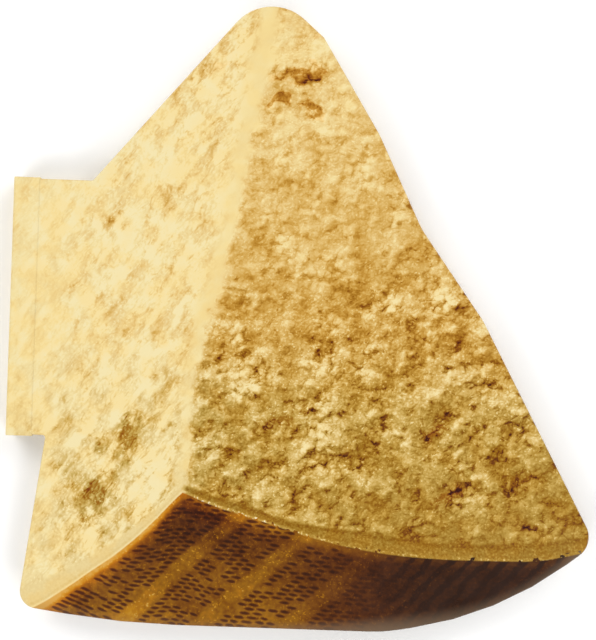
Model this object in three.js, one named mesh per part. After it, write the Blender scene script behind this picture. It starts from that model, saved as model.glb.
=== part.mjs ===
// A shut hardback cookbook, die-cut to the outline of a wedge of hard cheese, lying on its back cover.
// Its spine runs along a straight tab on the left, where the leaves are bound. The two boards overhang
// the leaves all round, and the stiff spine piece folds round the bound edge and ends in a shallow
// hinge groove on each face.
//
// Millimetres. +X is right and +Y is up as the front cover is read, and +Z comes out of that cover.
// The origin is the centre of the cover's width and height, on the surface that the book lies on.
import * as THREE from "three";

// The whole book
const BOOK_HEIGHT = 230;
const BOOK_THICKNESS = 14;
const HALF_HEIGHT = BOOK_HEIGHT / 2;

// The clearance that is left between two pieces that touch
const PLAY = 0.3;

// The boards
const BOARD_THICKNESS = 2.2;
const BOARD_EDGE_ROUND = 0.5;
const BOARD_OVERHANG = 3;

// The spine tab: the face that looks left, the head and the foot of the spine, and the hinge strip
const SPINE_X = -108.6;
const SPINE_HEAD_Y = 48.9;
const SPINE_FOOT_Y = -46.9;
const SPINE_THICKNESS = 2;
const SPINE_EDGE_ROUND = 1.2;
const HINGE_END_X = -99.4;
const HINGE_GROOVE_DEPTH = 0.5;
const HINGE_STEP_DEPTH = 0.25;
const BOARD_SHORTER_THAN_SPINE = 0.5;

// Arcs are drawn as chords. In the outline a chord turns by at most this angle, and no arc is tighter
// than this radius. The board's rounded edge and the spine piece's curves have a fixed number of chords.
const ARC_STEP = THREE.MathUtils.degToRad(7.5);
const LEAST_RADIUS = 0.5;
const LEAST_CHORDS = 2;
const BOARD_EDGE_CHORDS = 2;
const SPINE_CURVE_CHORDS = 6;

// The corners of the cover, anticlockwise from the foot of the tab. Two straight edges meet at each
// corner, and an arc of the given radius rounds it, so a long curve is a corner with a long radius.
function coverCorners(leftX, headY, footY) {
  return [
    { x: leftX, y: footY, radius: 1 },
    { x: -93.7, y: footY, radius: 1 },
    { x: -102, y: -109.7, radius: 6.5 },
    { x: -63.6, y: -HALF_HEIGHT, radius: 300 },
    { x: 33.5, y: -HALF_HEIGHT, radius: 60 },
    { x: 75.8, y: -107.3, radius: 130 },
    { x: 111, y: -79.7, radius: 8.5 },
    { x: 66.8, y: 1.4, radius: 25 },
    { x: 42.9, y: 34.6, radius: 25 },
    { x: 26.2, y: 68.8, radius: 25 },
    { x: 4.4, y: 104.1, radius: 3 },
    { x: -16.6, y: 122.5, radius: 17.6 },
    { x: -79.4, y: headY, radius: 1 },
    { x: leftX, y: headY, radius: 1 },
  ];
}

// The same outline with every edge moved inwards, and the corner arcs kept parallel to the first ones.
function insetCorners(corners, inset) {
  const count = corners.length;
  return corners.map((corner, i) => {
    const before = corners[(i + count - 1) % count];
    const after = corners[(i + 1) % count];
    const along = new THREE.Vector2(corner.x - before.x, corner.y - before.y).normalize();
    const onward = new THREE.Vector2(after.x - corner.x, after.y - corner.y).normalize();
    const turn = along.cross(onward);
    const backwards = (inset * (1 - along.dot(onward))) / turn;
    return {
      x: corner.x - along.y * inset - along.x * backwards,
      y: corner.y + along.x * inset - along.y * backwards,
      radius: turn > 0 ? Math.max(corner.radius - inset, LEAST_RADIUS) : corner.radius + inset,
    };
  });
}

// The points of the outline: straight edges, joined by arcs that touch both edges of a corner.
function roundedOutline(corners) {
  const points = [];
  const count = corners.length;
  corners.forEach((corner, i) => {
    const before = corners[(i + count - 1) % count];
    const after = corners[(i + 1) % count];
    const arriving = Math.atan2(corner.y - before.y, corner.x - before.x);
    const leaving = Math.atan2(after.y - corner.y, after.x - corner.x);
    const turn = Math.atan2(Math.sin(leaving - arriving), Math.cos(leaving - arriving));
    const side = Math.sign(turn);
    const tangentLength = corner.radius * Math.tan(Math.abs(turn) / 2);
    const startX = corner.x - Math.cos(arriving) * tangentLength;
    const startY = corner.y - Math.sin(arriving) * tangentLength;
    const centreX = startX - side * Math.sin(arriving) * corner.radius;
    const centreY = startY + side * Math.cos(arriving) * corner.radius;
    const steps = Math.max(LEAST_CHORDS, Math.ceil(Math.abs(turn) / ARC_STEP));
    for (let step = 0; step <= steps; step++) {
      const heading = arriving + (turn * step) / steps;
      points.push(new THREE.Vector2(
        centreX + side * Math.sin(heading) * corner.radius,
        centreY - side * Math.cos(heading) * corner.radius,
      ));
    }
  });
  return points;
}

// One board, with its long edges rounded, from its underside up to its thickness.
function boardGeometry() {
  const corners = coverCorners(
    HINGE_END_X + PLAY,
    SPINE_HEAD_Y - BOARD_SHORTER_THAN_SPINE,
    SPINE_FOOT_Y + BOARD_SHORTER_THAN_SPINE,
  );
  const geometry = new THREE.ExtrudeGeometry(new THREE.Shape(roundedOutline(corners)), {
    depth: BOARD_THICKNESS - 2 * BOARD_EDGE_ROUND,
    bevelThickness: BOARD_EDGE_ROUND,
    bevelSize: BOARD_EDGE_ROUND,
    bevelOffset: -BOARD_EDGE_ROUND,
    bevelSegments: BOARD_EDGE_CHORDS,
  });
  return geometry.translate(0, 0, BOARD_EDGE_ROUND);
}

// The block of leaves, cut parallel to the boards and reaching into the spine piece.
function leafBlockGeometry(thickness) {
  const boundEdgeX = SPINE_X + SPINE_THICKNESS + PLAY;
  const corners = coverCorners(
    boundEdgeX - BOARD_OVERHANG,
    SPINE_HEAD_Y - BOARD_SHORTER_THAN_SPINE,
    SPINE_FOOT_Y + BOARD_SHORTER_THAN_SPINE,
  );
  const outline = roundedOutline(insetCorners(corners, BOARD_OVERHANG));
  return new THREE.ExtrudeGeometry(new THREE.Shape(outline), {
    depth: thickness,
    bevelEnabled: false,
  });
}

// The spine piece seen from its foot, as a channel: across its thickness run the spine board and,
// at both ends of that, a hinge strip whose outer face dips into the groove and meets the board.
// The groove's control point lies so deep that the middle of the curve is at the groove's depth.
function spineGeometry() {
  const pocketX = SPINE_X + SPINE_THICKNESS;
  const pocketFloor = BOARD_THICKNESS;
  const pocketRoof = BOOK_THICKNESS - BOARD_THICKNESS;
  const grooveStartX = SPINE_X + 2 * SPINE_EDGE_ROUND;
  const grooveMiddleX = (grooveStartX + HINGE_END_X) / 2;
  const grooveControlDepth = 2 * HINGE_GROOVE_DEPTH - HINGE_STEP_DEPTH / 2;
  const shape = new THREE.Shape();
  shape.moveTo(pocketX, pocketFloor);
  shape.lineTo(pocketX, pocketRoof);
  shape.lineTo(HINGE_END_X, pocketRoof);
  shape.lineTo(HINGE_END_X, BOOK_THICKNESS - HINGE_STEP_DEPTH);
  shape.quadraticCurveTo(
    grooveMiddleX, BOOK_THICKNESS - grooveControlDepth,
    grooveStartX, BOOK_THICKNESS,
  );
  shape.absarc(
    SPINE_X + SPINE_EDGE_ROUND, BOOK_THICKNESS - SPINE_EDGE_ROUND,
    SPINE_EDGE_ROUND, Math.PI / 2, Math.PI, false,
  );
  shape.absarc(
    SPINE_X + SPINE_EDGE_ROUND, SPINE_EDGE_ROUND,
    SPINE_EDGE_ROUND, Math.PI, 1.5 * Math.PI, false,
  );
  shape.lineTo(grooveStartX, 0);
  shape.quadraticCurveTo(grooveMiddleX, grooveControlDepth, HINGE_END_X, HINGE_STEP_DEPTH);
  shape.lineTo(HINGE_END_X, pocketFloor);
  const geometry = new THREE.ExtrudeGeometry(shape, {
    depth: SPINE_HEAD_Y - SPINE_FOOT_Y,
    bevelEnabled: false,
    curveSegments: SPINE_CURVE_CHORDS,
  });
  return geometry.rotateX(Math.PI / 2).translate(0, SPINE_HEAD_Y, 0);
}

// A laminated, printed cover sheet on board, and uncoated white leaves.
function coverMaterial() {
  return new THREE.MeshStandardMaterial({ color: "#e3c67f", roughness: 0.4, metalness: 0 });
}

function leafMaterial() {
  return new THREE.MeshStandardMaterial({ color: "#efe9da", roughness: 0.85, metalness: 0 });
}

function piece(name, geometry, material, baseZ) {
  const mesh = new THREE.Mesh(geometry, material);
  mesh.name = name;
  mesh.position.z = baseZ;
  return mesh;
}

const leafBlockBaseZ = BOARD_THICKNESS + PLAY;
const frontBoardBaseZ = BOOK_THICKNESS - BOARD_THICKNESS;
const leafBlockThickness = frontBoardBaseZ - PLAY - leafBlockBaseZ;

const book = new THREE.Group();
book.add(
  piece("back_board", boardGeometry(), coverMaterial(), 0),
  piece("leaf_block", leafBlockGeometry(leafBlockThickness), leafMaterial(), leafBlockBaseZ),
  piece("front_board", boardGeometry(), coverMaterial(), frontBoardBaseZ),
  piece("spine", spineGeometry(), coverMaterial(), 0),
);

export default book;
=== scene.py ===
from math import radians
from random import Random

import bmesh
import bpy
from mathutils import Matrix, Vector


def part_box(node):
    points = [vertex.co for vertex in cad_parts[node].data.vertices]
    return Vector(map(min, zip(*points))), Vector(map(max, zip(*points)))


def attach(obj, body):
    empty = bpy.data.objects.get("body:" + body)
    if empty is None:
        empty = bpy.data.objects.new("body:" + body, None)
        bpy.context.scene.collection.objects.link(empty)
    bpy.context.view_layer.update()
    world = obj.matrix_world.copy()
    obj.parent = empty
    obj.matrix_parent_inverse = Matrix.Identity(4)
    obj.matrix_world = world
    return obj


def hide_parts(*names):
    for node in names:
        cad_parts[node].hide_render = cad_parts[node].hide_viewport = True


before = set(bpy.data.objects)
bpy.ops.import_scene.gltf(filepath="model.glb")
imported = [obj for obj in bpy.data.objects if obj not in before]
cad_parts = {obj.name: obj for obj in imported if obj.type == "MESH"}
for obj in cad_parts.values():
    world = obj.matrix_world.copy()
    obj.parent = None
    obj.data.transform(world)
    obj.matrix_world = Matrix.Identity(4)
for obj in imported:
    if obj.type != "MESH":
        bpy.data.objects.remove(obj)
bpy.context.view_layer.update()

# Covers: two 2.2 mm grey boards, cut to shape by a die, with a printed sheet under a clear satin film
# glued over them and turned in round the edges. The print shows a wedge of hard cheese: two broken faces
# that meet in a ridge, a smooth rim, and a rind with pressed dashes. All the relief in it is only ink.

MM = 0.001

# A Mix node has inputs for every kind of value at once. These are its share and its two numbers.
MIX_NUMBER_INPUTS = (0, 2, 3)


class Field:
    """A number at every point of a surface. Sums, products and steps of fields become shader nodes."""

    def __init__(self, socket):
        self.socket = socket
        self.tree = socket.id_data

    def maths(self, operation, *others):
        """What one of Blender's maths operations makes of the field, and of others where it takes more."""
        node = self.tree.nodes.new("ShaderNodeMath")
        node.operation = operation
        for socket, value in zip(node.inputs, (self, *others)):
            give(self.tree, socket, value)
        return Field(node.outputs[0])

    def __add__(self, other):
        return self.maths("ADD", other)

    def __sub__(self, other):
        return self.maths("SUBTRACT", other)

    def __mul__(self, other):
        return self.maths("MULTIPLY", other)

    def least(self, other):
        """The smaller one of this field and the other."""
        return self.maths("MINIMUM", other)

    def most(self, other):
        """The larger one of this field and the other."""
        return self.maths("MAXIMUM", other)

    def rise(self, start, end, low=0.0, high=1.0, way="SMOOTHSTEP"):
        """A step from low to high as the field goes from start to end, level before and after."""
        node = self.tree.nodes.new("ShaderNodeMapRange")
        node.interpolation_type = way
        ends = {"Value": self, "From Min": start, "From Max": end, "To Min": low, "To Max": high}
        for name, value in ends.items():
            give(self.tree, node.inputs[name], value)
        return Field(node.outputs["Result"])

    def mixed(self, other, share):
        """This field where share is 0, and the other where it is 1."""
        node = self.tree.nodes.new("ShaderNodeMix")
        for name, value in zip(MIX_NUMBER_INPUTS, (share, self, other)):
            give(self.tree, node.inputs[name], value)
        return Field(node.outputs[0])


def give(tree, socket, value):
    """Links a field or an output to a socket, or sets the socket to a plain value."""
    if isinstance(value, Field):
        value = value.socket
    if isinstance(value, bpy.types.NodeSocket):
        tree.links.new(value, socket)
    else:
        socket.default_value = value


def add_node(tree, kind, inputs, **settings):
    """A new node with its settings, and with each input linked or set."""
    node = tree.nodes.new(kind)
    for name, value in settings.items():
        setattr(node, name, value)
    for name, value in inputs.items():
        give(tree, node.inputs[name], value)
    return node


def vector_maths(tree, operation, first, second):
    """The vector that an operation makes of two vectors, or of a vector and the number that scales it."""
    node = tree.nodes.new("ShaderNodeVectorMath")
    node.operation = operation
    give(tree, node.inputs[0], first)
    give(tree, node.inputs["Scale" if operation == "SCALE" else 1], second)
    return node.outputs["Vector"]


def parts(tree, vector):
    """The three parts of a vector, as fields."""
    return [Field(socket) for socket in add_node(tree, "ShaderNodeSeparateXYZ", {"Vector": vector}).outputs]


def noise(tree, position, size, detail=2.0, roughness=0.5):
    """Smooth noise around 0, from -0.5 to 0.5, with patches of about that size in millimetres."""
    node = add_node(tree, "ShaderNodeTexNoise", {
        "Vector": position, "Scale": 1 / size, "Detail": detail, "Roughness": roughness})
    return Field(node.outputs["Fac"]) - 0.5


def bent(tree, position, size, reach, detail=2.0):
    """The position, moved about by up to half the reach in patches of that size, so shapes go ragged."""
    node = add_node(tree, "ShaderNodeTexNoise", {"Vector": position, "Scale": 1 / size, "Detail": detail})
    wander = vector_maths(tree, "SUBTRACT", node.outputs["Color"], (0.5, 0.5, 0.5))
    return vector_maths(tree, "ADD", position, vector_maths(tree, "SCALE", wander, reach))


def cells(tree, position, size):
    """Irregular cells of about that size: the distance from a cell's middle, and a number for each cell."""
    node = add_node(tree, "ShaderNodeTexVoronoi", {"Vector": position, "Scale": 1 / size})
    return Field(node.outputs["Distance"]), parts(tree, node.outputs["Color"])[0]


def chance(tree, number):
    """A random number from 0 to 1 for each whole number, or for each pair of them in a vector."""
    flat = isinstance(number, Field)
    settings = {"noise_dimensions": "1D"} if flat else {}
    node = add_node(tree, "ShaderNodeTexWhiteNoise", {"W" if flat else "Vector": number}, **settings)
    return Field(node.outputs["Value"])


LEAST_KEPT = 0.2


def linear(red, green, blue, light=1.0, haze=0.0):
    """A screen colour from 0 to 255, made linear by the sRGB curve, times light and less a haze.

    The haze leaves at least LEAST_KEPT of each channel, so that dark colours keep their hue.
    """
    channels = []
    for channel in (red, green, blue):
        share = channel / 255
        value = share / 12.92 if share < 0.04045 else ((share + 0.055) / 1.055) ** 2.4
        lit = value * light
        channels.append(max(lit - haze, lit * LEAST_KEPT))
    return (*channels, 1.0)


MIX_COLOUR_INPUTS = (0, 6, 7)
MIX_COLOUR_OUTPUT = 2


def blend(tree, share, first, second):
    """The first colour where share is 0, and the second where it is 1."""
    node = tree.nodes.new("ShaderNodeMix")
    node.data_type = "RGBA"
    for name, value in zip(MIX_COLOUR_INPUTS, (share, first, second)):
        give(tree, node.inputs[name], value)
    return node.outputs[MIX_COLOUR_OUTPUT]


def ramp(tree, share, stops):
    """A colour that changes with share, through stops of a share and its colour."""
    node = add_node(tree, "ShaderNodeValToRGB", {"Fac": share})
    elements = node.color_ramp.elements
    elements[0].position, elements[0].color = stops[0]
    elements[1].position, elements[1].color = stops[-1]
    for place, tint in stops[1:-1]:
        elements.new(place).color = tint
    return node.outputs["Color"]


def curve(tree, share, stops):
    """A number that changes with share in straight steps, through stops of a share and its number."""
    return Field(ramp(tree, share, [(place, (value, value, value, 1.0)) for place, value in stops]))


def new_group(name, inputs, outputs):
    """An empty shader node group with named sockets, and the sockets of its two end nodes."""
    group = bpy.data.node_groups.new(name, "ShaderNodeTree")
    for socket, kind in inputs.items():
        group.interface.new_socket(socket, in_out="INPUT", socket_type="NodeSocket" + kind)
    for socket, kind in outputs.items():
        group.interface.new_socket(socket, in_out="OUTPUT", socket_type="NodeSocket" + kind)
    return group, group.nodes.new("NodeGroupInput").outputs, group.nodes.new("NodeGroupOutput").inputs


def place_group(tree, group, inputs):
    """One more use of a group in a tree, with its inputs given, as a field for each output by name."""
    node = tree.nodes.new("ShaderNodeGroup")
    node.node_tree = group
    for name, value in inputs.items():
        give(tree, node.inputs[name], value)
    return {socket.name: Field(socket) for socket in node.outputs}


def new_material(name):
    """A material, its node tree, its shader, and each point's place in the book's frame in millimetres."""
    material = bpy.data.materials.new(name)
    material.use_nodes = True
    tree = material.node_tree
    place = tree.nodes.new("ShaderNodeTexCoord").outputs["Object"]
    return material, tree, tree.nodes["Principled BSDF"], vector_maths(tree, "SCALE", place, 1 / MM)


# The lines of the picture, in millimetres from the middle of the cover, as far as LINE_REACH each way.
# The ridge between the two cut faces is two lines that give x for each y. The rim and the rind have a
# left and a right line each, which cross at the corner and give y for each x, as the rind's foot does.
LINE_REACH = 120.0
RIDGE_LEFT = (
    (-120, -46), (-65, -43.2), (-46, -41.6), (-16, -40.1), (6, -36.4), (21, -32.1), (43, -27.7),
    (62, -26.1), (80, -22.3), (95, -21), (120, -17))
RIDGE_RIGHT = (
    (-120, -45), (-67, -41.6), (-46, -40.1), (-16, -38.6), (13, -30.3), (43, -24.7), (62, -21.7),
    (80, -17.9), (103, -13.8), (120, -12))
LEFT_RIM = (
    (-120, -114), (-99, -103.1), (-92, -99.6), (-80, -93.2), (-70, -87), (-60, -79.4), (-49, -69.7),
    (-44, -64.6), (-30, -50), (0, -22), (60, 34), (120, 90))
LEFT_RIND = (
    (-120, -120), (-95, -109.7), (-85, -103.3), (-75, -96), (-65, -88.6), (-54, -78.4), (-44, -67.6),
    (-30, -54.5), (0, -28), (60, 24), (120, 74))
RIGHT_RIM = (
    (-120, -40), (-60, -57.5), (-39.5, -64.1), (-17, -70.7), (-2, -75.3), (21, -77.9), (38, -79.9),
    (55, -81.5), (83, -80.9), (109, -76.7), (120, -74))
RIGHT_RIND = (
    (-120, -36), (-60, -59), (-41.7, -66), (-31, -70.2), (-15, -74.8), (1, -79.5), (17, -83.4),
    (33, -85.9), (50, -87.1), (74, -87.2), (90, -86.6), (102, -84.3), (120, -80))
FOOT = (
    (-120, -107.5), (-102, -109.7), (-63, -114.7), (33, -115), (55, -112.5), (76, -106), (95, -94.5),
    (108, -82), (120, -70))


def line_field(along, points):
    """The line through points, as the field of its second coordinate where along is the first."""
    node = along.tree.nodes.new("ShaderNodeFloatCurve")
    bend = node.mapping.curves[0]
    spots = [[(value + LINE_REACH) / (2 * LINE_REACH) for value in point] for point in points]
    bend.points[0].location = spots[0]
    bend.points[1].location = spots[-1]
    for spot in spots[1:-1]:
        bend.points.new(*spot)
    node.mapping.update()
    give(along.tree, node.inputs["Value"], along.rise(-LINE_REACH, LINE_REACH, way="LINEAR"))
    return Field(node.outputs["Value"]) * (2 * LINE_REACH) - LINE_REACH


# The noise that makes edges ragged, the size of the finest grain, and the span of x in which the left
# rim turns into the right one. Here and below, ranges of places and distances are in millimetres.
RAGGED_SIZE = 2.5
RAGGED_REACH = 1.4
FINE_SIZE = 0.8
CORNER_X = (-43, -40)


class Picture:
    """What all parts of the picture share: the place, its lines, and how far a point is past each."""

    def __init__(self, tree, position):
        self.tree = tree
        self.position = position
        self.x, self.y, _ = parts(tree, position)
        self.ragged = noise(tree, position, RAGGED_SIZE) * RAGGED_REACH
        self.fine = noise(tree, position, FINE_SIZE, 3)
        self.left_rind = line_field(self.x, LEFT_RIND)
        right_rind = line_field(self.x, RIGHT_RIND)
        rim = line_field(self.x, LEFT_RIM).least(line_field(self.x, RIGHT_RIM))
        self.past_ridge = self.x - line_field(self.y, RIDGE_RIGHT)
        self.before_ridge = line_field(self.y, RIDGE_LEFT) - self.x
        self.past_rim = rim - self.y
        self.past_rind = self.left_rind.least(right_rind) - self.y
        self.above_foot = self.y - line_field(self.x, FOOT)
        self.right_side = self.x.rise(*CORNER_X)


# The relief that the print imitates: the size of each kind of bump in millimetres, and how high it
# stands. Chunks swell up softly and have sharp creases between them.
LUMP_SIZE = 8
LUMP_HEIGHT = 3.6
CHUNK_SIZE = 5
CHUNK_SWELL = 2
CHUNK_CREASE = 3.5
GRAIN_SIZE = 1.8
GRAIN_HEIGHT = 2.2
GRANULE_SIZE = 2.8
GRANULE_ROUNDNESS = 4


def crumb_relief_group():
    """How high the painted crumb stands: lumps, chunks and grains, and loose granules where it crumbles."""
    group, given, result = new_group(
        "crumb relief", {"Position": "Vector", "Crumbling": "Float"}, {"Height": "Float"})
    lumps = noise(group, given["Position"], LUMP_SIZE) * LUMP_HEIGHT
    chunk = noise(group, given["Position"], CHUNK_SIZE, 1)
    chunks = chunk * CHUNK_SWELL + chunk.maths("ABSOLUTE") * CHUNK_CREASE
    grains = noise(group, given["Position"], GRAIN_SIZE, 1).maths("ABSOLUTE") * GRAIN_HEIGHT
    from_middle, random_height = cells(group, given["Position"], GRANULE_SIZE)
    granule = random_height - from_middle * from_middle * GRANULE_ROUNDNESS
    give(group, result["Height"], lumps + chunks + grains + granule * Field(given["Crumbling"]))
    return group


# The shares of its half sizes at which an oval fades out and at which it is full.
OVAL_OUTSIDE = 1.2
OVAL_INSIDE = 0.3


def soft_oval_group():
    """A soft oval at a place: 1 in its middle and 0 outside it."""
    group, given, result = new_group(
        "soft oval",
        {"Position": "Vector", "Middle": "Vector", "Lean": "Float", "Size": "Vector"},
        {"Amount": "Float"})
    across = vector_maths(group, "SUBTRACT", given["Position"], given["Middle"])
    turned = add_node(
        group, "ShaderNodeVectorRotate", {"Vector": across, "Angle": given["Lean"]},
        rotation_type="Z_AXIS", invert=True)
    share = vector_maths(group, "DIVIDE", turned.outputs["Vector"], given["Size"])
    distance = add_node(group, "ShaderNodeVectorMath", {0: share}, operation="LENGTH")
    give(group, result["Amount"], Field(distance.outputs["Value"]).rise(OVAL_OUTSIDE, OVAL_INSIDE))
    return group


# Hollows broken out of the cut faces: x, y, half length and half width in millimetres, lean in degrees,
# and depth from 0 to 1. The first four are near the point, the next nine on the left face, and the rest
# on the right face.
HOLLOWS = (
    (-4, 90, 13, 5, 12, 1.0), (-12, 80, 7, 4, 35, 0.85), (1, 77, 8, 3.5, -20, 0.8),
    (2, 106, 4, 3, 20, 0.5),
    (-33, 93, 6, 3, 55, 0.4), (-52, 38, 7, 3, 50, 0.3), (-74, 32, 12, 3.5, 35, 0.4),
    (-86, 8, 8, 3, 60, 0.3), (-70, -8, 5, 2.5, 20, 0.3), (-63, -45, 12, 6.5, 60, 0.8),
    (-77, -68, 15, 9, 60, 0.75), (-73, -50, 6, 4, 50, 0.5), (-90, -56, 9, 2.5, -60, 0.4),
    (37, 46, 7, 3, -55, 0.7), (52, -40, 9, 4, 20, 0.5), (74, -30, 9, 5, -20, 0.3),
    (56, -64, 8, 4, 30, 0.5), (60, 8, 9, 4, 40, 0.4), (-5, -36, 16, 7, 15, 0.4),
    (10, -10, 12, 6, 20, 0.4), (84, -58, 10, 6, 0, 0.25), (30, 10, 9, 4, 30, 0.3),
    (-22, 8, 6, 4, 60, 0.5),
)
HOLLOW_EDGE_SIZE = 5
HOLLOW_EDGE_REACH = 14
FRONT_Z = 14
OVAL_HALF_HEIGHT = 100


def hollow_field(picture):
    """How deep the ragged hollows are. Their ovals stand so high that z hardly counts."""
    tree = picture.tree
    oval = soft_oval_group()
    ragged_place = bent(tree, picture.position, HOLLOW_EDGE_SIZE, HOLLOW_EDGE_REACH, 4)
    deepest = None
    for x, y, length, width, lean, depth in HOLLOWS:
        amount = place_group(tree, oval, {
            "Position": ragged_place, "Middle": (x, y, FRONT_Z), "Lean": radians(lean),
            "Size": (length, width, OVAL_HALF_HEIGHT)})["Amount"] * depth
        deepest = amount if deepest is None else deepest.most(amount)
    return deepest


STREAK_LEAN = radians(50)
STREAK_STRETCH = 1.8


def leaning(tree, position):
    """The position turned and squeezed, so that patterns on it run long and slanting, up to the right."""
    return add_node(
        tree, "ShaderNodeMapping",
        {"Vector": position, "Rotation": (0, 0, STREAK_LEAN), "Scale": (STREAK_STRETCH, 1, 1)},
        vector_type="TEXTURE").outputs["Vector"]


# The painted light falls from the upper left. The height at a place less the height a little further
# towards the light gives the grain, and less the height further off, the broad shadows. Low places are
# darker as well, and the highlights are toned down.
PAINTED_LIGHT = Vector((-0.5, 0.85, 0.2)).normalized()
GRAIN_REACH = 0.4
GRAIN_CONTRAST = 0.2
SHADOW_REACH = 1.8
SHADOW_CONTRAST = 0.1
MIDDLE_HEIGHT = 0.75
DEPTH_CONTRAST = 0.12
HIGHLIGHT_CUT = 0.3
WANDER_SIZE = 5
WANDER_REACH = 2.5
CRUMBLING_SIZE = 14
LEFT_CRUMBLING = 0.1
RIGHT_CRUMBLING = 0.45


def crumb_shade(picture, on_right):
    """Light and shadow of the crumb around 0. On the left face it runs slanting."""
    tree = picture.tree
    relief = crumb_relief_group()
    side = on_right.maths("GREATER_THAN", 0.5)
    shape = blend(tree, side, leaning(tree, picture.position), picture.position)
    wander = bent(tree, shape, WANDER_SIZE, WANDER_REACH)
    strength = on_right * (RIGHT_CRUMBLING - LEFT_CRUMBLING) + LEFT_CRUMBLING
    crumbling = noise(tree, picture.position, CRUMBLING_SIZE, 3).rise(-0.02, 0.12) * strength

    def height_at(reach):
        spot = vector_maths(tree, "ADD", wander, PAINTED_LIGHT * reach)
        return place_group(tree, relief, {"Position": spot, "Crumbling": crumbling})["Height"]

    height = height_at(0)
    grain = (height - height_at(GRAIN_REACH)) * GRAIN_CONTRAST
    slope = (height - height_at(SHADOW_REACH)) * SHADOW_CONTRAST
    depth = (height - MIDDLE_HEIGHT) * DEPTH_CONTRAST
    shade = grain + slope + depth
    return shade - shade.most(0) * HIGHLIGHT_CUT


# How rough and how light the cut faces are, from the top of a face at 0 to its foot at 1. Tones run from
# 0 for black to 1 for white.
RIGHT_ROUGHNESS = (
    (0.0, 0.4), (0.3, 0.45), (0.42, 0.48), (0.56, 0.8), (0.8, 0.95), (0.9, 0.8), (1.0, 0.7))
LEFT_ROUGHNESS = ((0.0, 0.6), (0.25, 0.45), (0.55, 0.42), (0.7, 0.55), (0.8, 0.75), (1.0, 0.75))
TAB_ROUGHNESS = 0.45
HOLLOW_ROUGHNESS = 0.45
RIGHT_TONE = (
    (0.0, 0.88), (0.26, 0.8), (0.385, 0.77), (0.565, 0.73), (0.8, 0.67), (0.9, 0.625), (1.0, 0.58))
LEFT_TONE = ((0.0, 0.92), (0.55, 0.91), (0.7, 0.9), (0.85, 0.88), (1.0, 0.87))
RIDGE_TONE = 0.885
PALEST_TONE = 0.93
RIGHT_FACE_SLANT = 0.3
WAVER_SIZE = 7
WAVER_REACH = 9
BLOTCH_SIZE = 15
BLOTCH_CONTRAST = 0.75
FINE_CONTRAST = 0.3
CRYSTAL_LIGHT = 0.16
PIT_SIZE = 4
PIT_DARKNESS = 0.16
PITS_IN_SHADE = 0.25
STREAK_SIZE = 5
STREAK_CONTRAST = 0.12
RIDGE_STREAKS = 0.7
HOLLOW_DARKNESS = 0.13
HOLLOW_FLOOR_DARKNESS = 0.16


def cut_face_tone(picture, hollow):
    """The broken faces: cream and nearly smooth on the left, darker and coarser down the right."""
    tree = picture.tree
    wavering = noise(tree, picture.position, WAVER_SIZE, 3) * WAVER_REACH
    on_right = (picture.past_ridge + wavering + picture.ragged).rise(-2.5, 3)
    off_ridge = (picture.before_ridge - wavering).rise(-2, 5).most(on_right)
    down_right = (picture.y - picture.x * RIGHT_FACE_SLANT).rise(105, -95, way="LINEAR")
    down_left = picture.y.rise(100, -90, way="LINEAR")

    rough_left = curve(tree, down_left, LEFT_ROUGHNESS) * picture.x.rise(-100, -75, TAB_ROUGHNESS, 1)
    rough_right = curve(tree, down_right, RIGHT_ROUGHNESS)
    rough = rough_left.mixed(rough_right, on_right) + hollow * HOLLOW_ROUGHNESS
    shade = crumb_shade(picture, on_right)
    blotches = noise(tree, picture.position, BLOTCH_SIZE, 4, 0.6) * BLOTCH_CONTRAST
    pits = (noise(tree, picture.position, PIT_SIZE, 4, 0.65) + shade * PITS_IN_SHADE).rise(-0.08, -0.2)
    crystals = picture.fine.rise(0.12, 0.2) * CRYSTAL_LIGHT
    texture = shade + blotches + picture.fine * FINE_CONTRAST + crystals - pits * PIT_DARKNESS

    streaks = noise(tree, leaning(tree, picture.position), STREAK_SIZE, 4) * STREAK_CONTRAST
    left_tone = curve(tree, down_left, LEFT_TONE) + streaks
    tone = left_tone.mixed(curve(tree, down_right, RIGHT_TONE), on_right) + texture * rough
    tone = tone - hollow * HOLLOW_DARKNESS - hollow.rise(0.5, 0.85) * HOLLOW_FLOOR_DARKNESS
    return (streaks * RIDGE_STREAKS + RIDGE_TONE).mixed(tone.least(PALEST_TONE), off_ridge)


# The tones of the rim's two halves, and what each effect adds to them or takes off.
LEFT_RIM_TONE = 0.83
LEFT_RIM_GRAIN = 0.12
LEFT_RIM_EDGE_LIGHT = 0.05
LEFT_RIM_STRIPE = 0.03
RIGHT_RIM_TONE = 0.5
RIGHT_RIM_GRAIN = 0.4
RIGHT_RIM_EDGE_LIGHT = 0.5
RIGHT_RIM_TOP_SHADE = 0.1
RIM_CRYSTALS = 0.04
EDGE_CRYSTALS = 1.2


def rim_tone(picture):
    """The rim, smooth and pale on the left, and olive brown with bright crystals on the right."""
    to_rind = picture.past_rind * -1
    stripe = to_rind.rise(2.6, 1.6) * to_rind.rise(0.6, 1.4)
    left = to_rind.rise(1.2, 0.3) * LEFT_RIM_EDGE_LIGHT + LEFT_RIM_TONE
    left = left - stripe * LEFT_RIM_STRIPE + picture.fine * LEFT_RIM_GRAIN

    lit_edge = to_rind.rise(1.5, 0.3) * picture.x.rise(15, -5, 0.12, 0.3)
    crystals = picture.fine.rise(0.04, 0.2) * (lit_edge * EDGE_CRYSTALS + RIM_CRYSTALS)
    top_shade = picture.past_rim.rise(2.5, 0) * RIGHT_RIM_TOP_SHADE
    right = picture.fine * RIGHT_RIM_GRAIN + RIGHT_RIM_TONE - top_shade
    right = right + lit_edge * RIGHT_RIM_EDGE_LIGHT + crystals
    return left.mixed(right, picture.right_side)


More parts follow.
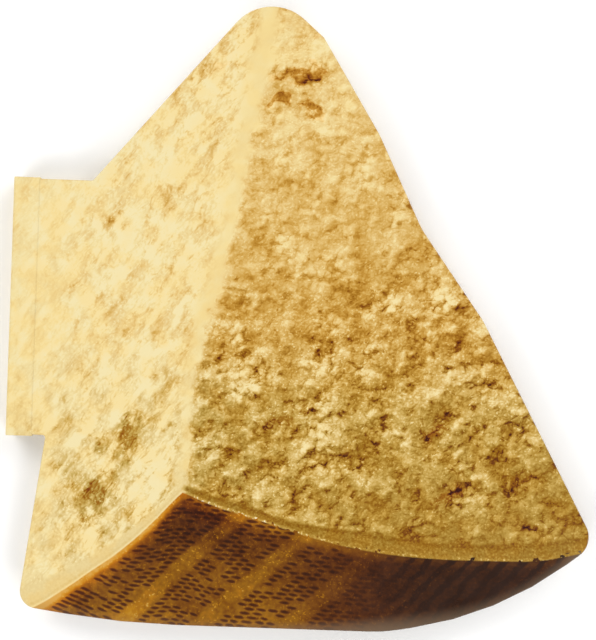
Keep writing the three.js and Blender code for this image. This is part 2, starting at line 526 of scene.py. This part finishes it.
# The dashes pressed into the rind stand in rows that slant across it, seven rows to a band, of which the
# last two stay plain. A dash is a soft oval that lies nearly level, and longer and steeper at the left tip.
RIND_SLOPE = 0.766
ROW_LEAN = 0.85
LEAN_GROWTH = 0.007
LEAN_START = -30
STEPS_PER_X = 1.306
FIRST_ROW = 2.6
DASH_ROW = 3.1
DASH_STEP = 2.3
DASH_HALF_LENGTH = 1.4
TIP_DASH_HALF_LENGTH = 2.0
DASH_HALF_WIDTH = 0.7
DASH_SLANT = 0.43
ROWS_TO_BAND = 7
PRESSED_ROWS = 5
PRESSED_SHARE = 0.72
ROW_WOBBLE_SIZE = 6
ROW_WOBBLE_REACH = 1.6
DASH_RAGGEDNESS = 0.7


def dash_field(picture, down_rind):
    """The pressed dashes, 1 inside a dash and 0 around it, and the bands that stay plain between them."""
    tree = picture.tree
    lean = (picture.x * -1 + LEAN_START).most(0) * LEAN_GROWTH + ROW_LEAN
    wobble = noise(tree, picture.position, ROW_WOBBLE_SIZE, 1) * ROW_WOBBLE_REACH
    row = (down_rind - FIRST_ROW + wobble) * (1 / DASH_ROW)
    step = ((picture.x - down_rind * lean) * STEPS_PER_X + wobble) * (1 / DASH_STEP)
    in_row = (row.maths("FRACT") - 0.5) * DASH_ROW
    in_step = (step.maths("FRACT") - 0.5) * DASH_STEP
    slant = picture.x.rise(-85, -40, 0, DASH_SLANT)
    lengthways = in_row * picture.x.rise(-60, -90, 1 / DASH_HALF_LENGTH, 1 / TIP_DASH_HALF_LENGTH)
    widthways = (in_step - in_row * slant) * (1 / DASH_HALF_WIDTH)
    from_middle = lengthways * lengthways + widthways * widthways
    dash = (from_middle + picture.ragged * DASH_RAGGEDNESS).rise(1.8, 0.1)
    cell = add_node(tree, "ShaderNodeCombineXYZ", {"X": row.maths("FLOOR"), "Y": step.maths("FLOOR")})
    pressed = chance(tree, cell.outputs["Vector"]).maths("LESS_THAN", PRESSED_SHARE)
    down_band = (row * (1 / ROWS_TO_BAND)).maths("FRACT")
    pressed_part = PRESSED_ROWS / ROWS_TO_BAND
    band = down_band.maths("LESS_THAN", pressed_part)
    plain = down_band.rise(pressed_part - 0.04, pressed_part + 0.06) * down_band.rise(1, 0.92)
    return dash * pressed * band, plain


# At its right end the rind is seen too flatly to tell the dashes apart, and soft strokes stand for them.
STROKE_STEP = 6.8
STROKE_LEAN = 0.9
STROKE_WOBBLE_SIZE = 7
STROKE_WOBBLE_REACH = 7


def stroke_field(picture):
    """Dark slanting strokes at the right end of the rind, 1 inside a stroke and 0 around it."""
    wobble = noise(picture.tree, picture.position, STROKE_WOBBLE_SIZE) * STROKE_WOBBLE_REACH
    along = (picture.x + picture.past_rind * STROKE_LEAN + wobble) * (1 / STROKE_STEP)
    off_middle = (along.maths("FRACT") - 0.5).maths("ABSOLUTE")
    return off_middle.rise(0.3, 0.12) * picture.x.rise(25, 50)


# The tone of the rind, from its left tip at 0 to its right corner at 1, and what each effect adds to it
# or takes off.
RIND_TONE = (
    (0.0, 0.42), (0.12, 0.34), (0.2, 0.3), (0.3, 0.22), (0.36, 0.23), (0.45, 0.29), (0.52, 0.27),
    (0.6, 0.23), (0.66, 0.19), (0.78, 0.16), (1.0, 0.155))
DASH_TONE = 0.14
LOWER_PART_LIGHT = 0.11
LEFT_EDGE_LIGHT = 0.1
FOOT_LIGHT = 0.06
PLAIN_BAND_LIGHT = 0.06
RIGHT_END_LIGHT = 0.03
STROKE_DARKNESS = 0.06
STROKE_EDGE_SHADE = 0.8
RIND_BLOTCH_SIZE = 9
RIND_BLOTCH_CONTRAST = 0.2
GRIT_SIZE = 1.7
GRIT_CONTRAST = 0.25
SPECK_LIGHT = 0.1
RIGHT_CONTRAST = 0.5


def rind_tone(picture):
    """The rind: ochre along its left edge, brown in the middle and almost black at the right."""
    tree = picture.tree
    down_rind = (picture.left_rind - picture.y) * RIND_SLOPE
    on_left = picture.x.rise(45, -20)
    base = curve(tree, picture.x.rise(-100, 100, way="LINEAR"), RIND_TONE)
    lower_part = picture.past_rind.rise(8, 28) * picture.x.rise(22, -25) * LOWER_PART_LIGHT
    left_edge = down_rind.rise(7, 1) * picture.x.rise(-38, -55) * LEFT_EDGE_LIGHT
    foot = picture.above_foot.rise(8, 0.3) * FOOT_LIGHT
    right_end = picture.x.rise(25, 50) * RIGHT_END_LIGHT
    strokes = stroke_field(picture)
    upper_edge = picture.past_rind.rise(4, 0.8) * picture.x.rise(30, -50, 0.1, 0.17)
    upper_edge = upper_edge * (strokes * -STROKE_EDGE_SHADE + 1)
    shape = base + lower_part + left_edge + foot + right_end + upper_edge - strokes * STROKE_DARKNESS

    dashes, plain = dash_field(picture, down_rind)
    blotches = noise(tree, picture.position, RIND_BLOTCH_SIZE, 3) * RIND_BLOTCH_CONTRAST
    grit = noise(tree, picture.position, GRIT_SIZE, 3) * GRIT_CONTRAST
    specks = picture.fine.rise(0.08, 0.2) * (plain * SPECK_LIGHT + SPECK_LIGHT)
    texture = (blotches + grit + specks) * (on_left * (1 - RIGHT_CONTRAST) + RIGHT_CONTRAST)
    tone = shape + texture + plain * on_left * PLAIN_BAND_LIGHT
    return tone.mixed(DASH_TONE, dashes * picture.x.rise(40, 0, 0.3, 0.75))


# The inks of the cut faces and the rim run from brown to cream, and those of the rind from nearly black
# to ochre. Each is a tone, from 0 for black to 1 for white, and the screen colour at that tone. A tint
# multiplies red, green and blue, in full up to DEEP_TONE and then less and less, down to LEAST_TINT.
FACE_INKS = (
    (0.11, (61, 28, 6)), (0.2, (82, 44, 12)), (0.27, (110, 63, 14)), (0.35, (132, 84, 20)),
    (0.43, (152, 109, 35)), (0.51, (169, 131, 53)), (0.59, (187, 151, 71)), (0.67, (206, 171, 91)),
    (0.75, (223, 190, 116)), (0.82, (237, 210, 146)), (0.9, (249, 227, 165)), (0.95, (251, 234, 182)),
    (1.0, (255, 249, 230)))
RIND_INKS = (
    (0.12, (46, 30, 20)), (0.16, (59, 36, 20)), (0.22, (88, 49, 17)), (0.28, (110, 64, 18)),
    (0.34, (130, 80, 22)), (0.41, (150, 100, 30)), (0.47, (171, 112, 28)), (0.54, (190, 132, 31)),
    (0.63, (206, 158, 68)), (0.7, (218, 175, 102)))
PLAIN = (1, 1, 1)
REDDER = (1.01, 0.965, 0.85)
GREENER = (0.99, 1.015, 1.06)
BROWNER = (1.04, 0.9, 0.7)
ORANGE = (1.06, 0.96, 0.7)
DEEP_TONE = 0.6
PALE_TONE = 0.85
LEAST_TINT = 0.4
GREY_RIND_INK = (56, 39, 28)
FOOT_INK = (122, 103, 84)
# The paper showing where the film is worn, also used as a painted highlight along the rounded edges.
BARE_PAPER_HIGHLIGHT = (226, 213, 186)
INK_LIGHT = 0.76
INK_HAZE = 0.008


def ink(colour):
    """An ink colour, less the white that the film over it reflects."""
    return linear(*colour, INK_LIGHT, INK_HAZE)


def ink_ramp(tree, tone, inks, tint):
    """The colour at a tone, through inks that are turned towards a tint."""
    stops = []
    for place, colour in inks:
        share = min(max((PALE_TONE - place) / (PALE_TONE - DEEP_TONE), LEAST_TINT), 1)
        turned = [min(channel * (1 + (turn - 1) * share), 255) for channel, turn in zip(colour, tint)]
        stops.append((place, ink(turned)))
    return ramp(tree, tone, stops)


RIM_RAGGEDNESS = 0.8
HUE_PATCH_SIZE = 8
RIGHT_GREEN_SHARE = 0.5
GOLDEN_SHARE = 0.6


def cheese_colour(picture):
    """The cut faces and the rim, redder or greener in patches, and browner in hollows and further up."""
    tree = picture.tree
    hollow = hollow_field(picture)
    below_rim = (picture.past_rim + picture.ragged * RIM_RAGGEDNESS).rise(-1.2, 1)
    tone = cut_face_tone(picture, hollow).mixed(rim_tone(picture), below_rim)
    red, green, brown = [ink_ramp(tree, tone, FACE_INKS, tint) for tint in (REDDER, GREENER, BROWNER)]
    patches = noise(tree, picture.position, HUE_PATCH_SIZE, 3).rise(-0.12, 0.12)
    green_share = patches * picture.x.rise(-60, 0, 1, RIGHT_GREEN_SHARE)
    brown_hollow = hollow.rise(0.1, 0.6) * picture.y.rise(20, 60).most(tone.rise(0.65, 0.35))
    golden = picture.y.rise(-40, 0) * tone.rise(0.9, 0.76) * GOLDEN_SHARE
    return blend(tree, brown_hollow.most(golden), blend(tree, green_share, red, green), brown)


GREY_RIND_SHARE = 0.6


def rind_colour(picture):
    """The rind, orange along its upper edge, and greyer at its right end and along its foot."""
    tree = picture.tree
    tone = rind_tone(picture)
    brown, orange = [ink_ramp(tree, tone, RIND_INKS, tint) for tint in (PLAIN, ORANGE)]
    upper_edge = picture.past_rind.rise(10, 3) * picture.x.rise(0, -45, 0.2, 1)
    colour = blend(tree, upper_edge, brown, orange)
    colour = blend(tree, picture.x.rise(15, 55, 0, GREY_RIND_SHARE), colour, ink(GREY_RIND_INK))
    foot_height = picture.x.rise(0, 50, 5, 8)
    foot = picture.above_foot.rise(foot_height, 0.3) * picture.x.rise(-60, 40, 0.2, 0.8)
    return blend(tree, foot, colour, ink(FOOT_INK))


RIND_LINE_RAGGEDNESS = 0.25
NOTCH_SIZE = 2.2
NOTCH_DEPTH = 1.3


def picture_colour(picture):
    """The whole picture: the cheese, and below a line with small notches on the right its rind."""
    tree = picture.tree
    notches = noise(tree, picture.position, NOTCH_SIZE, 1).rise(0.1, 0.18)
    notches = notches * picture.x.rise(-30, -10) * NOTCH_DEPTH
    past_line = picture.past_rind + picture.ragged * RIND_LINE_RAGGEDNESS + notches
    return blend(tree, past_line.rise(-0.3, 0.3), cheese_colour(picture), rind_colour(picture))


# The film over the print: satin, scuffed in patches, faintly wavy, and worn thin along the edges. Along the
# rounded edges the colour turns paler in patches, partly bare paper under worn film and partly a painted
# highlight.
FILM_ROUGHNESS = 0.32
FILM_REFLECTION = 0.22
SCUFF_SIZE = 9
SCUFF_ROUGHNESS = 0.25
WEAR_HIGHLIGHT_SIZE = 1.2
WEAR_HIGHLIGHT_SHARE = 0.35
WEAR_ROUGHNESS = 0.3
WAVE_SIZE = 16
WAVE_HEIGHT = 0.15 * MM
WAVE_STRENGTH = 0.4


def printed_sheet():
    """The print under its film, as one material for the covers and the spine."""
    material, tree, shader, position = new_material("printed_sheet")
    printed = picture_colour(Picture(tree, position))
    # Along the marked edges the print turns paler and rougher in patches: worn film, and a painted
    # highlight on the rounding.
    edge = Field(add_node(tree, "ShaderNodeAttribute", {}, attribute_name="worn_highlit_edge").outputs["Fac"])
    worn_highlit = edge * noise(tree, position, WEAR_HIGHLIGHT_SIZE, 4, 0.7).rise(0.0, 0.25)
    give(tree, shader.inputs["Base Color"], blend(tree, worn_highlit * WEAR_HIGHLIGHT_SHARE, printed, ink(BARE_PAPER_HIGHLIGHT)))
    scuffs = noise(tree, position, SCUFF_SIZE, 4, 0.7) * SCUFF_ROUGHNESS
    give(tree, shader.inputs["Roughness"], scuffs + FILM_ROUGHNESS + worn_highlit * WEAR_ROUGHNESS)
    shader.inputs["Specular IOR Level"].default_value = FILM_REFLECTION
    waves = add_node(tree, "ShaderNodeBump", {
        "Height": noise(tree, position, WAVE_SIZE), "Distance": WAVE_HEIGHT, "Strength": WAVE_STRENGTH})
    give(tree, shader.inputs["Normal"], waves.outputs["Normal"])
    return material


COVER_EDGE_ROUND = 0.55 * MM
COVER_EDGE_SEGMENTS = 4
SAME_POINT = 0.005 * MM
STRAIGHT_ON = radians(0.5)
LEVEL = 0.999
FEWEST_OUTLINE_POINTS = 8


def outline_face(bm, node, level):
    """Puts a CAD node's outline at that height into bm, as one flat face."""
    bm.from_mesh(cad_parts[node].data)
    bmesh.ops.remove_doubles(bm, verts=bm.verts, dist=SAME_POINT)
    bmesh.ops.bisect_plane(
        bm, geom=bm.verts[:] + bm.edges[:] + bm.faces[:], plane_co=(0, 0, level), plane_no=(0, 0, 1),
        clear_inner=True, clear_outer=True)
    bmesh.ops.dissolve_limit(bm, angle_limit=STRAIGHT_ON, verts=bm.verts, edges=bm.edges)
    bmesh.ops.edgenet_fill(bm, edges=bm.edges)


def thicken(bm, faces, low, high):
    """Lays flat faces at the height low and extrudes them up to high."""
    bottom = {vert for face in faces for vert in face.verts}
    for vert in bottom:
        vert.co.z = low
    raised = bmesh.ops.extrude_face_region(bm, geom=faces, use_keep_orig=True)["geom"]
    top = [part for part in raised if isinstance(part, bmesh.types.BMVert)]
    bmesh.ops.translate(bm, verts=top, vec=(0, 0, high - low))
    bmesh.ops.recalc_face_normals(bm, faces=bm.faces)


def level_faces(bm):
    """The large flat faces on top and underneath."""
    return [
        face for face in bm.faces
        if abs(face.normal.z) > LEVEL and len(face.verts) > FEWEST_OUTLINE_POINTS]


def round_edges(bm, edges, size, segments):
    """Rounds edges off, from that far on either side of them."""
    bmesh.ops.bevel(
        bm, geom=edges, offset=size, offset_type="OFFSET", affect="EDGES", segments=segments,
        profile=0.5, material=-1)


def finished_piece(name, bm, material, smooth=True):
    """Turns bm into an object that rides with the book and takes its finish from a material slot."""
    for face in bm.faces:
        face.smooth = smooth
    mesh = bpy.data.meshes.new(name)
    bm.to_mesh(mesh)
    bm.free()
    mesh.materials.append(material)
    piece = bpy.data.objects.new(name, mesh)
    bpy.context.scene.collection.objects.link(piece)
    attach(piece, "root")
    return piece


def wrapped_board(name, node, material):
    """A board with its edges rounded, and a mark along the roundings, where the film wears and a highlight
    is painted.
    """
    low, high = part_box(node)
    bm = bmesh.new()
    outline_face(bm, node, (low.z + high.z) / 2)
    thicken(bm, bm.faces[:], low.z, high.z)
    rim = {edge for face in level_faces(bm) for edge in face.edges}
    round_edges(bm, list(rim), COVER_EDGE_ROUND, COVER_EDGE_SEGMENTS)
    worn_highlit = bm.verts.layers.float.new("worn_highlit_edge")
    for vert in bm.verts:
        depth = min(vert.co.z - low.z, high.z - vert.co.z)
        vert[worn_highlit] = 1 if SAME_POINT < depth < COVER_EDGE_ROUND - SAME_POINT else 0
    return finished_piece(name, bm, material)


sheet_print = printed_sheet()
front_cover = wrapped_board("front_cover", "front_board", sheet_print)
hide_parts("front_board")
back_cover = wrapped_board("back_cover", "back_board", sheet_print)
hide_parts("back_board")


# Spine piece: a strip of grey board along the bound edge, with a card hinge folded on at each side. The
# printed sheet runs over it without a seam, dips into the hinge groove and goes under the covers.

HINGE_TUCK = 0.8 * MM
HINGE_STEP = 0.25 * MM
GROOVE_DEPTH = 0.875 * MM
GROOVE_START = 2.4 * MM
GROOVE_ROUND = 2.6 * MM
GROOVE_SEGMENTS = 10
GROOVE_SHOULDER = 0.7 * MM
GROOVE_SHOULDER_SEGMENTS = 4
SPINE_ROUND = 1.2 * MM
SPINE_ROUND_SEGMENTS = 8
SPINE_END_ROUND = 0.3 * MM
SPINE_END_SEGMENTS = 3
SPINE_WORN_END = 1.0 * MM
SPINE_WORN_CORNER = 0.5 * MM
POCKET_PLAY = 0.3 * MM

pocket_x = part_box("leaf_block")[0].x - POCKET_PLAY
inside_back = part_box("back_board")[1].z
inside_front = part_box("front_board")[0].z


def edges_along_spine(bm, x, heights):
    """The edges that run along the spine at that x and at one of those heights."""
    return [
        edge for edge in bm.edges
        if all(
            abs(vert.co.x - x) < SAME_POINT and min(abs(vert.co.z - z) for z in heights) < SAME_POINT
            for vert in edge.verts)
        and abs(edge.verts[0].co.z - edge.verts[1].co.z) < SAME_POINT]


def spine_piece(material):
    """The spine as a channel: its section, drawn as one face, is pulled along the bound edge."""
    low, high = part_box("spine")
    groove_start = low.x + GROOVE_START
    groove_middle = (groove_start + high.x) / 2
    tuck_x = high.x + HINGE_TUCK
    tuck_depth = HINGE_STEP - HINGE_TUCK * (GROOVE_DEPTH - HINGE_STEP) / (high.x - groove_middle)
    upper = (
        (pocket_x, inside_front), (tuck_x, inside_front), (tuck_x, high.z - tuck_depth),
        (groove_middle, high.z - GROOVE_DEPTH), (groove_start, high.z), (low.x, high.z))
    lower = (
        (low.x, low.z), (groove_start, low.z), (groove_middle, low.z + GROOVE_DEPTH),
        (tuck_x, low.z + tuck_depth), (tuck_x, inside_back), (pocket_x, inside_back))

    bm = bmesh.new()
    section = bm.faces.new([bm.verts.new((x, low.y, z)) for x, z in upper + lower])
    raised = bmesh.ops.extrude_face_region(bm, geom=[section], use_keep_orig=True)["geom"]
    far_end = [part for part in raised if isinstance(part, bmesh.types.BMVert)]
    bmesh.ops.translate(bm, verts=far_end, vec=(0, high.y - low.y, 0))
    bmesh.ops.recalc_face_normals(bm, faces=bm.faces)

    outer_corners = edges_along_spine(bm, low.x, (low.z, high.z))
    round_edges(bm, outer_corners, SPINE_ROUND, SPINE_ROUND_SEGMENTS)
    groove_floors = edges_along_spine(bm, groove_middle, (low.z + GROOVE_DEPTH, high.z - GROOVE_DEPTH))
    round_edges(bm, groove_floors, GROOVE_ROUND, GROOVE_SEGMENTS)
    groove_shoulders = edges_along_spine(bm, groove_start, (low.z, high.z))
    round_edges(bm, groove_shoulders, GROOVE_SHOULDER, GROOVE_SHOULDER_SEGMENTS)
    ends = {edge for face in bm.faces if abs(face.normal.y) > LEVEL for edge in face.edges}
    round_edges(bm, list(ends), SPINE_END_ROUND, SPINE_END_SEGMENTS)
    for place in (low.y + SPINE_WORN_END, high.y - SPINE_WORN_END):
        bmesh.ops.bisect_plane(
            bm, geom=bm.verts[:] + bm.edges[:] + bm.faces[:], plane_co=(0, place, 0), plane_no=(0, 1, 0))

    # The spine's ends and outer corners take the same mark as the cover edges: worn film, and a painted
    # highlight on the rounding.
    worn_highlit = bm.verts.layers.float.new("worn_highlit_edge")
    for vert in bm.verts:
        at_end = min(vert.co.y - low.y, high.y - vert.co.y) < SPINE_END_ROUND
        at_side = vert.co.x - low.x < SPINE_WORN_CORNER
        at_corner = at_side and min(vert.co.z - low.z, high.z - vert.co.z) < SPINE_WORN_CORNER
        vert[worn_highlit] = 1 if at_end or at_corner else 0
    return finished_piece("spine_cover", bm, material)


spine_cover = spine_piece(sheet_print)
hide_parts("spine")


# Leaves: 64 leaves of coated white paper in eight signatures, glued together along the spine and then
# cut to shape by a die that is a little smaller than the covers. The cut edges show every leaf.

LEAVES = 64
LEAVES_TO_SIGNATURE = 8
LEAF_GAP = 0.015 * MM
SIGNATURE_GAP = 0.05 * MM
LEAF_SHIFT = 0.03 * MM
SIGNATURE_SHIFT = 0.1 * MM
LEAF_SEED = 5
ENDPAPER_THICKNESS = 0.15 * MM

block_floor = inside_back + ENDPAPER_THICKNESS
block_middle = (inside_back + inside_front) / 2
leaf_pitch = (inside_front - inside_back - 2 * ENDPAPER_THICKNESS) / LEAVES


PAPER_CLOUD_SIZE = 14
FIBRE_SIZE = 0.3


def paper_fibre_group():
    """Clouds of tint in the paper and the height of its fine fibres, both from 0 to 1."""
    group, given, result = new_group(
        "paper fibre", {"Position": "Vector"}, {"Tint": "Float", "Height": "Float"})
    clouds = noise(group, given["Position"], PAPER_CLOUD_SIZE, 3).rise(-0.15, 0.15)
    give(group, result["Tint"], clouds)
    give(group, result["Height"], noise(group, given["Position"], FIBRE_SIZE, 4, 0.7) + 0.5)
    return group


LEAF_SHADE_SHARE = 0.6
PAPER_ROUGHNESS = 0.55
FIBRE_ROUGHNESS = 0.3
FIBRE_HEIGHT = 0.02 * MM
FIBRE_STRENGTH = 0.5


def paper(name, fibre, fresh, aged, shaded, stripes):
    """Paper in two close tints. With stripes above 0, each cut leaf and signature has its own shade."""
    material, tree, shader, position = new_material(name)
    fibres = place_group(tree, fibre, {"Position": position})
    tone = blend(tree, fibres["Tint"], linear(*fresh), linear(*aged))
    above_floor = parts(tree, position)[2] - block_floor / MM
    leaf = (above_floor * (MM / leaf_pitch)).maths("FLOOR")
    signature = (leaf * (1 / LEAVES_TO_SIGNATURE)).maths("FLOOR")
    shade = chance(tree, signature).mixed(chance(tree, leaf), LEAF_SHADE_SHARE) * stripes
    give(tree, shader.inputs["Base Color"], blend(tree, shade, tone, linear(*shaded)))
    give(tree, shader.inputs["Roughness"], fibres["Height"] * FIBRE_ROUGHNESS + PAPER_ROUGHNESS)
    bump = add_node(tree, "ShaderNodeBump", {
        "Height": fibres["Height"], "Distance": FIBRE_HEIGHT, "Strength": FIBRE_STRENGTH})
    give(tree, shader.inputs["Normal"], bump.outputs["Normal"])
    return material


def leaf_stack(material):
    """Every leaf as its own thin slab, each shifted by a hair and each signature by a little more."""
    draw = Random(LEAF_SEED)

    def shift_by(reach):
        return Vector((draw.uniform(-reach, reach), draw.uniform(-reach, reach), 0))

    bm = bmesh.new()
    outline_face(bm, "leaf_block", block_middle)
    pattern = bm.faces[:]
    for number in range(LEAVES):
        if number % LEAVES_TO_SIGNATURE == 0:
            signature_shift = shift_by(SIGNATURE_SHIFT)
        last_in_signature = number % LEAVES_TO_SIGNATURE == LEAVES_TO_SIGNATURE - 1
        low = block_floor + number * leaf_pitch
        high = low + leaf_pitch - (SIGNATURE_GAP if last_in_signature else LEAF_GAP)
        copied = bmesh.ops.duplicate(bm, geom=pattern)["geom"]
        leaf = [part for part in copied if isinstance(part, bmesh.types.BMFace)]
        bmesh.ops.translate(bm, verts=leaf[0].verts, vec=signature_shift + shift_by(LEAF_SHIFT))
        thicken(bm, leaf, low, high)
    bmesh.ops.delete(bm, geom=pattern, context="FACES")
    return finished_piece("leaves", bm, material, smooth=False)


FRESH_LEAF = (246, 243, 233)
AGED_LEAF = (240, 233, 216)
SHADED_LEAF = (196, 184, 160)
LEAF_STRIPES = 0.6

paper_fibre = paper_fibre_group()
leaf_paper = paper("cut_paper", paper_fibre, FRESH_LEAF, AGED_LEAF, SHADED_LEAF, LEAF_STRIPES)
leaves = leaf_stack(leaf_paper)
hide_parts("leaf_block")


# Endpapers: a sheet of plain strong paper pasted to the inside of each cover, over the turned-in edges
# of the printed sheet. They reach a little past the leaves, so a margin of the print shows round them.

ENDPAPER_PAST_LEAVES = 1.0 * MM
FRESH_ENDPAPER = (243, 239, 228)
AGED_ENDPAPER = (236, 230, 214)


def endpaper(name, low, high, material):
    """A sheet in the outline of the leaves, widened all round and cut off at the spine board."""
    bm = bmesh.new()
    outline_face(bm, "leaf_block", block_middle)
    bmesh.ops.inset_region(
        bm, faces=bm.faces[:], thickness=ENDPAPER_PAST_LEAVES, use_boundary=True, use_even_offset=True,
        use_outset=True)
    bmesh.ops.dissolve_faces(bm, faces=bm.faces[:])
    bmesh.ops.bisect_plane(
        bm, geom=bm.verts[:] + bm.edges[:] + bm.faces[:], plane_co=(pocket_x, 0, 0), plane_no=(1, 0, 0),
        clear_inner=True)
    thicken(bm, bm.faces[:], low, high)
    return finished_piece(name, bm, material, smooth=False)


endpaper_stock = paper("endpaper", paper_fibre, FRESH_ENDPAPER, AGED_ENDPAPER, AGED_ENDPAPER, 0)
endpaper("back_endpaper", inside_back, inside_back + ENDPAPER_THICKNESS, endpaper_stock)
endpaper("front_endpaper", inside_front - ENDPAPER_THICKNESS, inside_front, endpaper_stock)


# Studio: a pale floor, soft light from four large lamps, and the camera straight above the book, turned
# by as much as the book leans in the photo. The sky is white to the camera, and lights the book faintly.

FLOOR_HALF_SIZE = 2.5
FLOOR_WHITE = (0.935, 0.935, 0.935, 1)
FLOOR_CLOUD = (0.925, 0.925, 0.925, 1)
FLOOR_CLOUD_SIZE = 60
FLOOR_ROUGHNESS = 0.88
CLOUD_ROUGHNESS = 0.05
SKY_LIGHT = 0.28
LAMP_PLACE = Vector((1.6, 1.6, 1.8))
LAMP_SIZE = 1.8
LAMP_POWER = 38.4
CAMERA_LENS = 100
CAMERA_SENSOR = 36
CAMERA_PLACE = Vector((-1.746, -0.589, 671.5)) * MM
CAMERA_TURN = radians(1.98)

world = bpy.data.worlds.new("studio")
bpy.context.scene.world = world
world.use_nodes = True
sky = world.node_tree.nodes["Background"]
sky.inputs["Color"].default_value = (1, 1, 1, 1)
seen = add_node(world.node_tree, "ShaderNodeLightPath", {}).outputs["Is Camera Ray"]
give(world.node_tree, sky.inputs["Strength"], Field(seen) * (1 - SKY_LIGHT) + SKY_LIGHT)


def floor_finish():
    """A matt, nearly white floor with the faintest clouds in it."""
    material, tree, shader, position = new_material("floor")
    clouds = noise(tree, position, FLOOR_CLOUD_SIZE, 3).rise(-0.2, 0.2)
    give(tree, shader.inputs["Base Color"], blend(tree, clouds, FLOOR_WHITE, FLOOR_CLOUD))
    give(tree, shader.inputs["Roughness"], clouds * CLOUD_ROUGHNESS + FLOOR_ROUGHNESS)
    return material


bm = bmesh.new()
bmesh.ops.create_grid(bm, x_segments=1, y_segments=1, size=FLOOR_HALF_SIZE)
mesh = bpy.data.meshes.new("floor")
bm.to_mesh(mesh)
bm.free()
floor = bpy.data.objects.new("floor", mesh)
bpy.context.scene.collection.objects.link(floor)
mesh.materials.append(floor_finish())

for number, (side, ahead) in enumerate(((-1, 1), (1, 1), (1, -1), (-1, -1))):
    light = bpy.data.lights.new("lamp_%d" % number, "AREA")
    light.shape = "SQUARE"
    light.size = LAMP_SIZE
    light.energy = LAMP_POWER
    lamp = bpy.data.objects.new(light.name, light)
    bpy.context.scene.collection.objects.link(lamp)
    lamp.location = LAMP_PLACE * Vector((side, ahead, 1))
    lamp.rotation_euler = (-lamp.location).to_track_quat("-Z", "Y").to_euler()

bpy.context.scene.view_settings.view_transform = "Standard"

camera_data = bpy.data.cameras.new("camera")
camera_data.lens = CAMERA_LENS
camera_data.sensor_width = CAMERA_SENSOR
camera = bpy.data.objects.new("camera", camera_data)
bpy.context.scene.collection.objects.link(camera)
camera.location = CAMERA_PLACE
camera.rotation_euler = (0, 0, CAMERA_TURN)
bpy.context.scene.camera = camera
